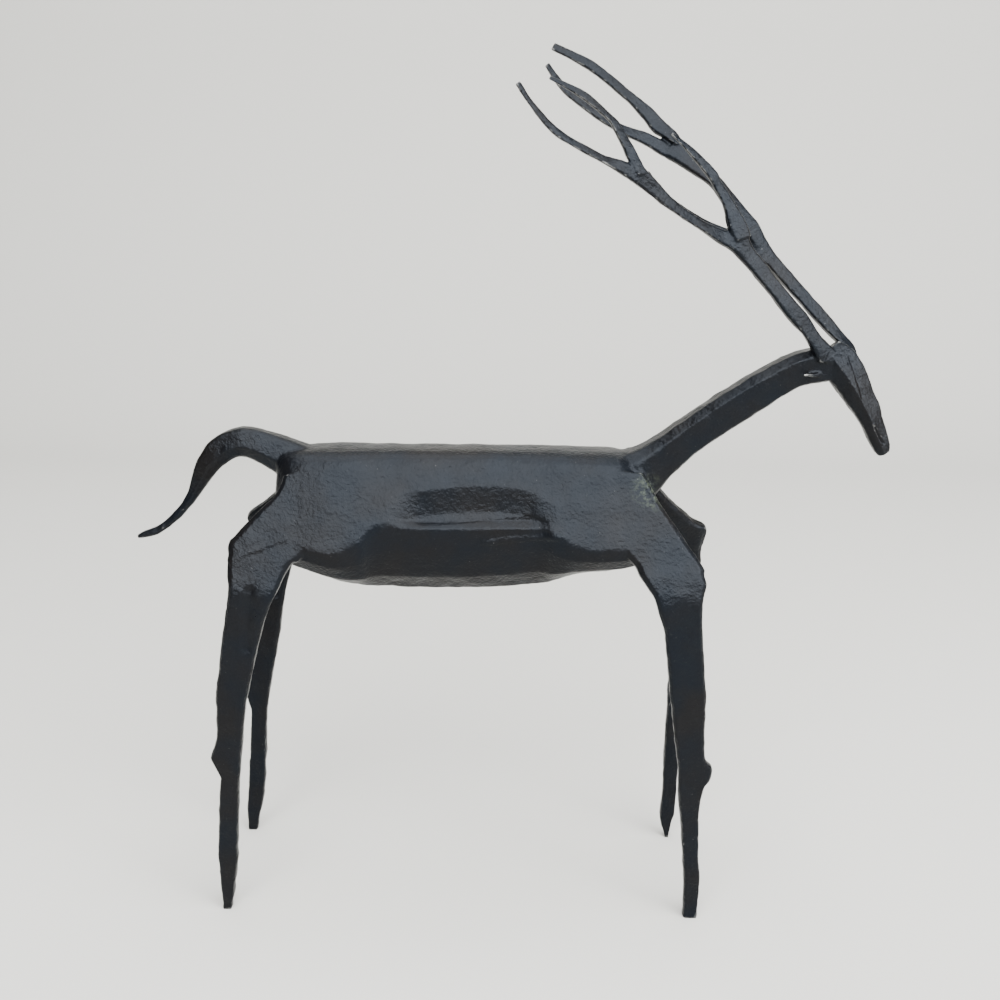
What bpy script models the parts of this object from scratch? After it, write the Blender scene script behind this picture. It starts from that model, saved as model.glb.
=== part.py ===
"""A stag forged in one piece from iron: a rounded barrel of a body, with the tail, the neck and
head, two forked antlers and four strap legs all drawn out of the same metal.

The stag faces +X and stands on the ground plane. Its right side faces -Y.
Lengths are in metres. MM turns the millimetre figures below into metres.
"""

import bmesh
import bpy
from math import cos, pi, sin
from mathutils import Vector

MM = 0.001
NAME = "deer"

# How finely a limb is divided, and how broken its forged corners are.
STEPS_BETWEEN_STATIONS = 2
CORNER = 0.27
BODY_SIDES = 20

# The body: x, top of the back, lowest point of the belly, half of its width.
BODY = (
    (-97.0, 195.0, 171.0, 9.0),
    (-93.0, 198.8, 160.0, 18.0),
    (-84.0, 201.3, 151.0, 25.0),
    (-68.0, 202.0, 145.0, 29.0),
    (-50.0, 202.0, 141.4, 30.5),
    (-20.0, 202.3, 141.0, 31.0),
    (10.0, 202.3, 142.6, 31.0),
    (33.0, 201.8, 150.0, 29.5),
    (50.0, 201.6, 153.0, 26.5),
    (60.0, 199.0, 159.0, 20.0),
    (65.0, 195.0, 169.0, 10.0),
)
# The back is narrower than the belly: this share of the half width is lost at the top.
BACK_TAPER = 0.16

# Each limb is a bar that runs through its stations: x, y, z, width across the bar as the side
# view shows it, thickness through the bar. Hips, shoulders and legs give y outward from the
# middle plane, for either side.
RIGHT_HIP = (
    (-79.0, 15.0, 173.0, 28.0, 13.0),
    (-90.0, 22.0, 168.0, 29.5, 9.5),
    (-99.5, 28.0, 162.5, 30.0, 7.5),
    (-102.6, 30.5, 153.0, 23.5, 6.5),
)
LEFT_HIP = (
    (-80.0, 15.0, 169.0, 28.0, 13.0),
    (-91.0, 22.0, 165.0, 29.0, 9.5),
    (-100.5, 28.0, 160.0, 29.0, 7.5),
    (-103.2, 30.5, 151.0, 23.5, 6.5),
)
HIND_LEG = (
    (-106.6, 31.5, 140.0, 17.5, 6.0),
    (-110.1, 32.0, 126.0, 16.0, 6.0),
    (-114.5, 32.0, 98.0, 13.2, 6.0),
    (-116.6, 32.0, 79.0, 10.9, 6.0),
    (-118.0, 32.0, 72.5, 13.4, 6.5),
    (-117.0, 32.0, 65.5, 9.4, 6.0),
    (-118.0, 32.5, 45.0, 8.6, 6.0),
    (-119.4, 33.0, 22.0, 8.0, 5.6),
    (-120.6, 33.0, 0.0, 4.4, 5.0),
)
RIGHT_SHOULDER = (
    (46.0, 15.0, 177.0, 30.0, 13.0),
    (55.4, 22.5, 171.6, 26.0, 9.5),
    (62.2, 28.5, 165.0, 24.5, 7.5),
    (68.2, 31.5, 155.0, 23.6, 6.5),
)
LEFT_SHOULDER = (
    (47.0, 13.0, 167.5, 27.0, 13.0),
    (59.0, 21.0, 164.5, 25.0, 9.5),
    (69.4, 28.0, 160.0, 25.0, 7.5),
    (77.6, 31.5, 151.5, 22.5, 6.5),
)
FRONT_LEG = (
    (71.2, 33.0, 144.0, 17.2, 6.0),
    (73.4, 33.0, 125.0, 15.5, 6.0),
    (75.9, 33.0, 102.0, 15.2, 6.0),
    (77.4, 33.0, 79.0, 12.2, 6.0),
    (80.4, 33.0, 71.0, 16.0, 6.5),
    (79.4, 33.0, 62.0, 11.0, 6.0),
    (79.2, 33.0, 53.0, 8.8, 6.0),
    (80.2, 33.0, 33.0, 7.0, 5.6),
    (81.9, 33.0, 14.0, 7.2, 5.6),
    (82.4, 33.0, 0.0, 4.8, 5.0),
)
# The left legs as against the right ones: how far back the foot stands, how much the leg leans
# forward for each unit of height, and how far it bows forward halfway up.
LEFT_HIND = {"foot_back": 2.0, "lean": 0.0, "bow": 2.6}
LEFT_FRONT = {"foot_back": 2.6, "lean": 0.084, "bow": 0.0}
# Both hind feet stand a little to the left.
HIND_FEET_ASIDE = 2.0
LEG_HEIGHT = 165.0

TAIL = (
    (-80.0, 0.0, 190.0, 19.0, 20.0),
    (-89.5, 0.0, 194.2, 17.4, 17.0),
    (-101.0, 0.0, 199.9, 14.2, 14.0),
    (-111.0, 0.0, 202.8, 12.8, 12.5),
    (-119.6, 0.0, 200.6, 12.0, 11.5),
    (-126.6, 0.0, 193.8, 10.4, 10.0),
    (-130.7, 0.0, 187.0, 8.0, 8.5),
    (-135.2, 0.0, 178.6, 4.8, 6.5),
    (-142.4, 0.0, 169.8, 4.2, 5.5),
    (-150.6, 0.0, 163.6, 3.8, 4.8),
    (-159.4, 0.0, 160.4, 2.0, 3.6),
)
NECK = (
    (44.0, 0.0, 185.0, 29.0, 28.0),
    (56.5, 0.0, 193.0, 21.0, 21.0),
    (65.3, 0.0, 200.4, 16.2, 17.0),
    (77.3, 0.0, 210.0, 14.6, 15.0),
    (90.3, 0.0, 219.4, 15.0, 14.5),
    (105.2, 0.0, 229.3, 14.3, 14.0),
    (118.0, 0.0, 236.7, 13.8, 14.0),
    (127.0, 0.0, 238.8, 13.8, 14.0),
    (135.0, 0.0, 239.2, 12.4, 13.0),
)
HEAD = (
    (130.5, 0.0, 245.6, 10.5, 11.0),
    (135.4, -0.5, 239.8, 15.6, 15.0),
    (142.2, -2.0, 230.0, 13.6, 14.5),
    (148.7, -4.0, 218.8, 10.2, 12.0),
    (153.8, -6.0, 207.2, 7.8, 8.4),
    (155.7, -6.4, 203.0, 5.0, 6.0),
)
EARS = (
    ((128.0, -4.0, 235.6, 4.4, 5.0), (123.0, -7.6, 235.6, 2.6, 2.4), (119.2, -9.0, 235.8, 1.2, 1.2)),
    ((137.0, 4.0, 240.6, 5.0, 5.0), (141.4, 7.2, 240.4, 3.6, 2.8), (144.4, 8.6, 240.4, 2.4, 1.8)),
)

# Antlers. Each has a stem, an outer branch that a chisel slit parts into two long tines, and a
# single inner tine. The right antler is the near one in a view along +Y.
RIGHT_STEM = (
    (131.5, -4.5, 241.5, 10.0, 9.0),
    (125.0, -6.0, 247.6, 6.6, 7.5),
    (115.4, -7.8, 258.2, 5.8, 6.6),
    (103.3, -8.0, 270.8, 6.0, 6.4),
    (92.7, -8.0, 283.0, 7.6, 6.4),
)
RIGHT_BRANCH = (
    (97.0, -8.0, 277.6, 6.2, 6.4),
    (89.0, -9.0, 286.0, 8.4, 6.4),
    (79.3, -12.0, 291.6, 5.6, 6.0),
    (68.0, -16.0, 297.8, 4.4, 5.4),
    (57.4, -19.0, 304.9, 4.8, 5.2),
    (47.8, -21.5, 312.2, 7.4, 5.0),
)
RIGHT_TINES = (
    (
        (52.5, -20.5, 308.0, 5.0, 5.0),
        (41.6, -23.0, 315.6, 5.0, 5.0),
        (28.0, -25.0, 321.0, 3.9, 4.4),
        (16.0, -26.4, 328.1, 3.2, 4.0),
        (6.3, -27.6, 337.8, 2.6, 3.4),
        (0.6, -28.0, 345.8, 2.4, 2.6),
    ),
    (
        (51.6, -21.0, 309.5, 4.6, 5.0),
        (44.6, -20.2, 320.2, 5.0, 4.8),
        (36.4, -18.0, 332.4, 3.4, 4.2),
        (25.4, -15.8, 342.4, 3.1, 3.8),
        (12.6, -15.0, 348.6, 1.8, 2.8),
    ),
    (
        (97.4, -8.0, 278.0, 6.0, 5.6),
        (91.2, -7.6, 289.6, 6.6, 5.6),
        (86.2, -6.2, 301.2, 6.0, 5.0),
        (77.6, -5.0, 314.2, 4.4, 4.4),
        (69.2, -4.2, 322.8, 3.0, 3.8),
        (61.3, -4.0, 329.2, 1.4, 2.4),
    ),
)
LEFT_STEM = (
    (139.0, 4.5, 237.5, 10.0, 9.0),
    (139.8, 6.2, 244.4, 6.0, 7.5),
    (131.4, 7.6, 254.8, 5.0, 6.6),
    (116.4, 8.0, 269.0, 6.0, 6.4),
    (102.5, 8.0, 284.4, 7.4, 6.4),
)
LEFT_BRANCH = (
    (106.0, 8.0, 280.4, 6.4, 6.4),
    (97.4, 10.0, 291.4, 9.6, 6.4),
    (91.0, 12.5, 299.2, 8.4, 6.0),
    (82.0, 17.5, 310.6, 5.8, 5.4),
    (72.2, 20.0, 318.8, 7.2, 5.2),
    (58.4, 23.0, 328.9, 10.4, 5.0),
)
LEFT_TINES = (
    (
        (66.4, 22.0, 326.4, 5.4, 5.0),
        (57.6, 24.0, 333.8, 5.8, 5.0),
        (46.5, 26.0, 344.9, 4.4, 4.4),
        (31.2, 28.0, 356.2, 4.2, 4.0),
        (15.2, 28.0, 363.6, 3.4, 3.2),
    ),
    (
        (64.0, 22.0, 322.8, 5.4, 5.0),
        (48.3, 20.0, 330.0, 5.2, 5.0),
        (34.5, 17.5, 336.5, 4.0, 4.4),
        (22.5, 15.5, 344.5, 3.8, 4.0),
        (16.6, 15.0, 350.2, 3.0, 3.6),
        (12.6, 15.0, 355.6, 2.2, 2.8),
    ),
    (
        (106.0, 8.0, 280.4, 6.4, 5.8),
        (92.4, 6.8, 287.9, 6.0, 5.6),
        (76.4, 5.4, 294.8, 4.4, 4.8),
        (61.4, 5.0, 304.8, 3.2, 3.8),
        (53.6, 5.0, 315.0, 1.5, 2.4),
    ),
)

IRON_COLOUR = (0.020, 0.023, 0.027, 1.0)
IRON_ROUGHNESS = 0.45
IRON_METALLIC = 0.8


def clear_scene():
    for obj in list(bpy.data.objects):
        bpy.data.objects.remove(obj, do_unlink=True)


def new_collection(name):
    collection = bpy.data.collections.new(name)
    bpy.context.scene.collection.children.link(collection)
    return collection


def iron():
    material = bpy.data.materials.new("forged_iron")
    material.use_nodes = True
    shader = material.node_tree.nodes["Principled BSDF"]
    shader.inputs["Base Color"].default_value = IRON_COLOUR
    shader.inputs["Roughness"].default_value = IRON_ROUGHNESS
    shader.inputs["Metallic"].default_value = IRON_METALLIC
    return material


def smooth_between(before, start, end, after, share):
    """The value at this share of the way from start to end on a Catmull-Rom curve."""
    return 0.5 * (
        2.0 * start
        + (end - before) * share
        + (2.0 * before - 5.0 * start + 4.0 * end - after) * share**2
        + (3.0 * start - before - 3.0 * end + after) * share**3
    )


def divided(stations):
    """The stations with STEPS_BETWEEN_STATIONS smooth steps from each to the next."""
    last = len(stations) - 1
    rows = []
    for index in range(last):
        before = stations[max(index - 1, 0)]
        after = stations[min(index + 2, last)]
        for step in range(STEPS_BETWEEN_STATIONS):
            share = step / STEPS_BETWEEN_STATIONS
            columns = zip(before, stations[index], stations[index + 1], after)
            rows.append([smooth_between(*column, share) for column in columns])
    rows.append(list(stations[last]))
    return rows


def loft(name, rings, collection):
    """A closed solid through rings of equally many points, with a flat cap at each end."""
    shape = bmesh.new()
    made = [[shape.verts.new(point * MM) for point in ring] for ring in rings]
    for ring, following in zip(made, made[1:]):
        for side in range(len(ring)):
            beside = (side + 1) % len(ring)
            shape.faces.new((ring[side], ring[beside], following[beside], following[side]))
    shape.faces.new(made[0])
    shape.faces.new(made[-1])
    bmesh.ops.recalc_face_normals(shape, faces=shape.faces)
    mesh = bpy.data.meshes.new(name)
    shape.to_mesh(mesh)
    shape.free()
    obj = bpy.data.objects.new(name, mesh)
    collection.objects.link(obj)
    return obj


def bar_section(centre, across, through, width, thickness):
    """An oblong with broken corners. Across and through are the directions of its sides."""
    half_width = across * width / 2.0
    half_thickness = through * thickness / 2.0
    inner = 1.0 - 2.0 * CORNER
    corners = ((1, inner), (inner, 1), (-inner, 1), (-1, inner), (-1, -inner), (-inner, -1), (inner, -1), (1, -inner))
    return [centre + half_width * u + half_thickness * v for u, v in corners]


def bar(name, stations, collection, foot=False):
    """A forged bar along its stations. A foot ends in a level sole on the ground."""
    rows = divided(stations)
    centres = [Vector(row[:3]) for row in rows]
    rings = []
    for index, row in enumerate(rows):
        ahead = centres[min(index + 1, len(rows) - 1)]
        behind = centres[max(index - 1, 0)]
        along = (ahead - behind).normalized()
        if foot and index == len(rows) - 1:
            along = Vector((0.0, 0.0, -1.0))
        across = along.cross(Vector((0.0, 1.0, 0.0))).normalized()
        through = across.cross(along)
        rings.append(bar_section(centres[index], across, through, row[3], row[4]))
    return loft(name, rings, collection)


def body(name, collection):
    """The barrel: an egg-shaped section, narrower at the back, carried along X."""
    rings = []
    for x, top, belly, half_width in divided(BODY):
        middle = (top + belly) / 2.0
        half_height = (top - belly) / 2.0
        ring = []
        for side in range(BODY_SIDES):
            angle = 2.0 * pi * side / BODY_SIDES
            taper = 1.0 - BACK_TAPER * max(sin(angle), 0.0)
            ring.append(Vector((x, half_width * taper * cos(angle), middle + half_height * sin(angle))))
        rings.append(ring)
    return loft(name, rings, collection)


def leg_stations(top, shank, side, aside=0.0, foot_back=0.0, lean=0.0, bow=0.0):
    """A leg's stations on one side: the hip or shoulder as it is, then the shank as it stands."""
    rows = [(x, side * y, z, width, thickness) for x, y, z, width, thickness in top]
    for x, y, z, width, thickness in shank:
        height = z / LEG_HEIGHT
        forward = lean * z - foot_back * (1.0 - height) + bow * sin(pi * height)
        rows.append((x + forward, side * y + aside * (1.0 - height), z, width, thickness))
    return rows


def limbs(collection):
    """Every limb that the body carries, as closed solids that overlap it and each other."""
    made = [
        bar("tail", TAIL, collection),
        bar("neck", NECK, collection),
        bar("head", HEAD, collection),
    ]
    legs = (
        ("right_hind_leg", leg_stations(RIGHT_HIP, HIND_LEG, -1.0, HIND_FEET_ASIDE)),
        ("left_hind_leg", leg_stations(LEFT_HIP, HIND_LEG, 1.0, HIND_FEET_ASIDE, **LEFT_HIND)),
        ("right_front_leg", leg_stations(RIGHT_SHOULDER, FRONT_LEG, -1.0)),
        ("left_front_leg", leg_stations(LEFT_SHOULDER, FRONT_LEG, 1.0, **LEFT_FRONT)),
    )
    for name, stations in legs:
        made.append(bar(name, stations, collection, foot=True))
    for side, stem, branch, tines in (
        ("right", RIGHT_STEM, RIGHT_BRANCH, RIGHT_TINES),
        ("left", LEFT_STEM, LEFT_BRANCH, LEFT_TINES),
    ):
        made.append(bar(f"{side}_stem", stem, collection))
        made.append(bar(f"{side}_branch", branch, collection))
        for number, tine in enumerate(tines, start=1):
            made.append(bar(f"{side}_tine_{number}", tine, collection))
    for number, ear in enumerate(EARS, start=1):
        made.append(bar(f"ear_{number}", ear, collection))
    return made


def forge_together(obj, others):
    """Join the limbs to the body, so that the whole stag is one solid."""
    for other in others:
        other.hide_render = True
        other.display_type = "WIRE"
        join = obj.modifiers.new(f"join_{other.name}", "BOOLEAN")
        join.operation = "UNION"
        join.solver = "EXACT"
        join.object = other


def stand_on_origin(obj, others):
    """Move everything so that the stag's bounds are centred on Z and stand on the ground."""
    bpy.context.view_layer.update()
    corners = [Vector(corner) for each in [obj, *others] for corner in each.bound_box]
    for axis in (0, 1):
        lowest = min(corner[axis] for corner in corners)
        highest = max(corner[axis] for corner in corners)
        for each in [obj, *others]:
            each.location[axis] -= (lowest + highest) / 2.0


def main():
    clear_scene()
    stag = new_collection("forged_deer")
    helpers = new_collection("limbs")
    deer = body(NAME, stag)
    deer.data.materials.append(iron())
    pieces = limbs(helpers)
    forge_together(deer, pieces)
    stand_on_origin(deer, pieces)


main()
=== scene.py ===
from math import cos, pi, radians, sin

import bpy
import numpy as np
from bpy.props import FloatProperty, FloatVectorProperty, IntProperty, PointerProperty
from mathutils import Matrix, Vector


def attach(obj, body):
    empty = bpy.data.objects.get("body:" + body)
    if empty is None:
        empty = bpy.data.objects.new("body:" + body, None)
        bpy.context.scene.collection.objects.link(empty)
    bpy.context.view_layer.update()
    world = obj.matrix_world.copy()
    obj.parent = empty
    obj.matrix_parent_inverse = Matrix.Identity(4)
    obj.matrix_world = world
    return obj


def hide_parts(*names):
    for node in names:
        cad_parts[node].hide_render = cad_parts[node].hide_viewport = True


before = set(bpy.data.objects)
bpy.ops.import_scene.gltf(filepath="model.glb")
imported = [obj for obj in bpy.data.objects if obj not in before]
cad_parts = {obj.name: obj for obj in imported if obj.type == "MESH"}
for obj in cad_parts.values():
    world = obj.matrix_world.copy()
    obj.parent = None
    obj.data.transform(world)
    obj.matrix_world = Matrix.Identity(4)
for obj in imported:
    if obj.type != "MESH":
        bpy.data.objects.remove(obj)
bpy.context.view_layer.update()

bl_info = {
    "name": "Forged Iron Stag",
    "version": (1, 0, 0),
    "blender": (4, 5, 0),
    "location": "3D View > Sidebar > Stag",
    "description": "A stag forged in one piece from black iron, on a pale studio floor",
    "category": "Add Mesh",
}

MM = 0.001
NODE = "deer"

# ----------------------------------------------------------------------------------------------
# Sizes of the stag, in millimetres. X runs towards the muzzle, Y to the stag's left, Z up.

# The barrel: x of the back, x of the crease, height of the back, of the crease and of the belly,
# and half of the width at the crease. MIDDLE_Y is its middle plane.
MIDDLE_Y = -0.65
BARREL = (
    (-96.5, -97.5, 197.0, 176.0, 168.0, 9.0),
    (-95.0, -96.5, 199.3, 172.0, 160.0, 17.0),
    (-89.0, -92.0, 200.8, 168.0, 153.0, 25.5),
    (-80.0, -80.0, 201.6, 165.0, 148.5, 28.6),
    (-70.0, -70.0, 202.0, 163.8, 145.0, 29.2),
    (-60.0, -60.0, 202.1, 168.5, 142.5, 27.2),
    (-52.5, -52.5, 202.1, 174.5, 141.6, 24.8),
    (-30.0, -30.0, 202.2, 175.0, 141.0, 24.5),
    (-3.0, -3.0, 202.3, 177.4, 141.4, 23.6),
    (13.0, 13.0, 202.3, 178.2, 143.2, 23.2),
    (20.0, 20.0, 202.2, 172.5, 145.0, 25.6),
    (29.0, 30.0, 202.0, 167.4, 149.2, 27.6),
    (41.0, 45.0, 201.8, 166.4, 151.5, 28.0),
    (47.5, 56.0, 201.2, 167.0, 153.8, 25.0),
    (51.0, 62.0, 199.5, 170.0, 157.5, 17.5),
    (52.5, 64.5, 197.0, 174.0, 163.0, 9.0),
)
# Half of the barrel's section. First the share of the crease's half width, then the share of the
# way from the crease up to the back (above zero) or down to the belly (below zero).
HALF_SECTION = (
    (0.0, -1.0), (0.45, -0.95), (0.80, -0.72), (0.97, -0.38), (1.01, -0.10), (1.0, 0.0),
    (0.55, 0.82), (0.49, 0.90), (0.41, 0.95), (0.30, 0.982), (0.16, 0.997), (0.0, 1.0),
)

# Sections of the limbs, walked round: along the rib from its first edge (-1) to its second (1),
# then through the bar from the stag's right (-1) to its left (1).
STRAP = ((1, -0.55), (0.84, -1), (-0.82, -1), (-1, -0.5), (-1, 0.5), (-0.82, 1), (0.84, 1), (1, 0.55))
PLATE = ((1, 0.1), (0.9, -0.2), (-0.62, -1), (-0.86, -0.8), (-1, 0.1), (-0.9, 0.7), (0.5, 1), (1, 0.5))
NECK_BAR = ((1, -0.55), (0.6, -0.98), (-0.85, -0.86), (-1, -0.6), (-1, 0.6), (-0.85, 0.86), (0.6, 0.98),
            (1, 0.55))
TAIL_BAR = ((1, -0.4), (0.85, -0.65), (0.2, -1), (-0.9, -0.6), (-1, -0.4), (-1, 0.4), (-0.9, 0.6), (0.2, 1),
            (0.85, 0.65), (1, 0.4))
WEDGE = ((1, -0.3), (-0.2, -1), (-0.9, -0.6), (-1, -0.4), (-1, 0.4), (-0.9, 0.6), (-0.2, 1), (1, 0.3))

# Ribs of the legs and of most antler bars: one edge x, y, z, the other edge x, y, z, and the
# thickness there. On legs the first edge is the rear one, on antlers the lower one.
RIGHT_HIND_LEG = (
    (-92.2, -13.8, 191.5, -71.2, -12.4, 194.9, 6.5),
    (-95.2, -16.8, 184.6, -71.6, -17.7, 182.6, 6.5),
    (-101.9, -19.6, 178.0, -73.3, -21.6, 173.4, 6.5),
    (-107.4, -21.9, 172.6, -77.2, -24.2, 167.3, 6.5),
    (-111.3, -23.8, 168.4, -81.1, -26.2, 162.7, 6.5),
    (-113.4, -24.9, 165.7, -84.7, -27.8, 158.9, 6.5),
    (-113.8, -28.6, 157.0, -87.9, -28.6, 157.4, 6.4),
    (-113.2, -32.2, 147.9, -92.8, -32.2, 148.2, 6.3),
    (-114.0, -32.8, 142.9, -95.3, -32.8, 143.2, 6.2),
    (-116.3, -32.8, 129.8, -100.0, -32.8, 130.0, 6.2),
    (-120.4, -32.5, 101.9, -106.6, -32.5, 102.1, 6.1),
    (-120.5, -32.5, 95.5, -108.0, -32.5, 95.7, 6.0),
    (-121.0, -32.3, 83.4, -109.6, -32.3, 83.6, 6.0),
    (-123.7, -32.2, 74.5, -110.7, -32.2, 74.7, 6.0),
    (-123.8, -32.2, 71.7, -110.9, -32.2, 71.9, 6.0),
    (-120.9, -32.1, 64.7, -111.6, -32.1, 64.8, 5.9),
    (-120.6, -32.1, 60.9, -112.1, -32.1, 61.0, 5.9),
    (-123.0, -31.8, 29.8, -114.3, -31.8, 30.0, 5.8),
    (-123.1, -31.7, 22.9, -114.6, -31.7, 23.0, 5.8),
    (-122.2, -31.5, 0.0, -118.1, -31.5, 0.0, 5.0),
)
RIGHT_FRONT_LEG = (
    (35.1, -12.1, 195.5, 56.6, -12.7, 194.2, 6.5),
    (37.6, -17.0, 184.0, 61.3, -16.3, 185.8, 6.5),
    (40.9, -21.9, 172.6, 65.6, -19.0, 179.4, 6.5),
    (45.0, -24.5, 166.6, 70.1, -21.6, 173.4, 6.5),
    (52.4, -27.8, 159.2, 80.2, -27.8, 159.6, 6.4),
    (54.4, -29.8, 155.6, 81.2, -29.8, 156.0, 6.3),
    (57.2, -31.5, 151.9, 81.8, -31.5, 152.3, 6.3),
    (60.3, -33.2, 147.4, 80.9, -33.2, 147.7, 6.2),
    (62.0, -33.8, 142.4, 80.4, -33.8, 142.7, 6.2),
    (65.4, -33.8, 131.1, 81.3, -33.8, 131.4, 6.1),
    (69.0, -33.7, 102.6, 84.4, -33.7, 102.8, 6.1),
    (73.0, -33.7, 78.3, 84.9, -33.7, 78.5, 6.0),
    (73.7, -33.7, 72.2, 88.5, -33.7, 72.5, 6.0),
    (73.9, -33.7, 69.0, 88.7, -33.7, 69.2, 6.0),
    (74.1, -33.6, 65.7, 87.7, -33.6, 65.9, 5.9),
    (74.4, -33.6, 61.9, 85.5, -33.6, 62.1, 5.9),
    (75.6, -33.6, 50.5, 84.5, -33.6, 50.6, 5.9),
    (78.0, -33.6, 30.2, 85.1, -33.6, 30.3, 5.8),
    (79.1, -33.5, 16.4, 86.6, -33.5, 16.5, 5.8),
    (79.6, -33.5, 0.0, 86.0, -33.5, 0.0, 5.0),
)
LEFT_HIND_LEG = (
    (-96.5, 15.0, 188.6, -75.0, 14.5, 190.0, 6.5),
    (-101.9, 20.4, 176.3, -76.9, 19.7, 177.7, 6.5),
    (-109.4, 23.4, 169.1, -80.8, 23.8, 168.2, 6.5),
    (-116.7, 26.0, 163.1, -87.8, 27.1, 160.6, 6.5),
    (-116.4, 27.3, 158.3, -93.4, 27.3, 158.6, 6.5),
    (-116.9, 31.4, 146.5, -96.2, 31.4, 146.8, 6.3),
    (-117.0, 32.6, 140.3, -97.6, 32.6, 140.6, 6.2),
    (-118.8, 33.1, 119.5, -102.7, 33.1, 119.8, 6.1),
    (-120.4, 33.3, 103.5, -105.2, 33.3, 103.7, 6.1),
    (-122.4, 33.5, 78.9, -110.1, 33.5, 79.1, 6.0),
    (-122.5, 33.6, 72.7, -111.4, 33.6, 72.8, 6.0),
    (-121.7, 33.6, 68.5, -112.0, 33.6, 68.7, 6.0),
    (-120.8, 33.7, 59.1, -112.8, 33.7, 59.2, 5.9),
    (-123.8, 34.1, 22.6, -115.5, 34.1, 22.7, 5.8),
    (-124.7, 34.2, 9.9, -117.8, 34.2, 10.0, 5.4),
    (-124.4, 34.3, 0.0, -119.9, 34.3, 0.0, 5.0),
)
LEFT_FRONT_LEG = (
    (40.6, 14.1, 190.8, 60.0, 15.3, 188.1, 6.5),
    (44.0, 19.3, 178.7, 68.3, 19.1, 179.3, 6.5),
    (49.1, 22.9, 170.4, 75.8, 22.5, 171.4, 6.5),
    (54.2, 25.8, 163.5, 83.9, 25.6, 164.0, 6.5),
    (57.2, 27.7, 159.0, 91.0, 27.7, 159.5, 6.4),
    (63.4, 31.2, 149.2, 90.3, 31.2, 149.6, 6.3),
    (67.1, 32.6, 143.0, 90.2, 32.6, 143.4, 6.2),
    (70.4, 33.2, 136.1, 90.5, 33.2, 136.4, 6.2),
    (72.8, 33.2, 128.3, 90.7, 33.2, 128.5, 6.2),
    (75.8, 33.2, 111.4, 90.2, 33.2, 111.6, 6.1),
    (77.6, 33.1, 93.3, 89.1, 33.1, 93.5, 6.0),
    (78.1, 33.0, 74.9, 87.8, 33.0, 75.1, 6.0),
    (77.6, 32.7, 41.5, 85.6, 32.7, 41.6, 5.9),
    (78.0, 32.6, 25.4, 85.3, 32.6, 25.5, 5.8),
    (77.5, 32.5, 13.0, 84.8, 32.5, 13.1, 5.3),
    (78.1, 32.4, 7.0, 83.5, 32.4, 7.0, 5.1),
    (80.3, 32.4, 0.0, 82.1, 32.4, 0.0, 4.8),
)
RIGHT_STEM = (
    (124.5, -4.5, 242.1, 138.2, -4.5, 240.6, 9.0),
    (123.0, -5.5, 245.5, 131.2, -5.5, 247.3, 8.0),
    (119.3, -6.4, 250.9, 126.5, -6.4, 251.8, 7.4),
    (113.8, -7.1, 256.5, 121.3, -7.1, 258.7, 7.3),
    (108.4, -7.8, 262.2, 115.8, -7.8, 264.7, 7.1),
    (103.5, -7.8, 268.1, 110.6, -7.8, 270.2, 7.0),
    (98.7, -7.9, 273.2, 105.3, -7.9, 276.0, 6.8),
    (94.0, -7.9, 278.2, 100.9, -7.9, 281.5, 6.7),
    (90.5, -7.9, 281.7, 97.0, -7.9, 286.1, 6.5),
    (86.7, -8.0, 285.2, 94.3, -8.0, 290.7, 6.4),
    (84.2, -8.0, 287.1, 91.7, -8.0, 294.5, 6.2),
)
RIGHT_BRANCH = (
    (91.4, -8.0, 281.3, 93.9, -8.0, 289.9, 6.2),
    (86.6, -8.5, 285.2, 88.6, -8.5, 292.2, 6.1),
    (82.9, -9.0, 287.1, 84.1, -9.0, 293.1, 6.0),
    (78.9, -10.5, 289.5, 80.2, -10.5, 294.7, 5.8),
    (73.7, -12.0, 292.9, 75.5, -12.0, 296.6, 5.7),
    (68.2, -13.7, 296.0, 70.8, -13.7, 299.1, 5.6),
    (63.6, -15.3, 299.0, 66.5, -15.3, 301.9, 5.5),
    (58.5, -17.0, 302.0, 62.2, -17.0, 305.1, 5.4),
    (53.6, -18.3, 305.4, 58.0, -18.3, 309.1, 5.2),
    (49.5, -19.7, 308.1, 54.2, -19.7, 312.8, 5.1),
    (45.0, -21.0, 311.0, 50.5, -21.0, 316.1, 5.0),
)
RIGHT_TINE_1 = (
    (46.6, -20.8, 310.1, 50.2, -20.8, 315.3, 5.0),
    (43.4, -21.9, 312.1, 46.2, -21.9, 316.7, 4.8),
    (39.7, -23.2, 314.3, 42.2, -23.2, 318.7, 4.7),
    (35.8, -24.6, 316.4, 37.1, -24.6, 319.9, 4.5),
    (31.5, -25.6, 318.7, 32.9, -25.6, 321.4, 4.3),
    (15.9, -27.1, 326.8, 17.8, -27.1, 329.4, 4.0),
    (6.2, -28.3, 336.9, 8.1, -28.3, 338.7, 3.4),
    (0.5, -28.7, 345.1, 2.4, -28.7, 346.5, 2.6),
)
RIGHT_TINE_2 = (
    (47.6, -20.8, 313.1, 51.4, -20.8, 314.2, 4.8),
    (45.2, -20.3, 316.7, 49.7, -20.3, 317.5, 4.7),
    (43.3, -19.9, 319.4, 48.1, -19.9, 320.4, 4.5),
    (41.8, -19.4, 322.9, 46.3, -19.4, 323.7, 4.4),
    (40.0, -18.9, 326.2, 44.2, -18.9, 326.9, 4.3),
    (38.0, -18.5, 329.8, 41.4, -18.5, 331.1, 4.1),
    (35.3, -18.0, 333.5, 38.5, -18.0, 334.7, 4.0),
    (25.4, -16.5, 341.1, 27.1, -16.5, 343.7, 3.8),
    (13.1, -15.7, 347.8, 13.8, -15.7, 349.4, 2.8),
)
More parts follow.
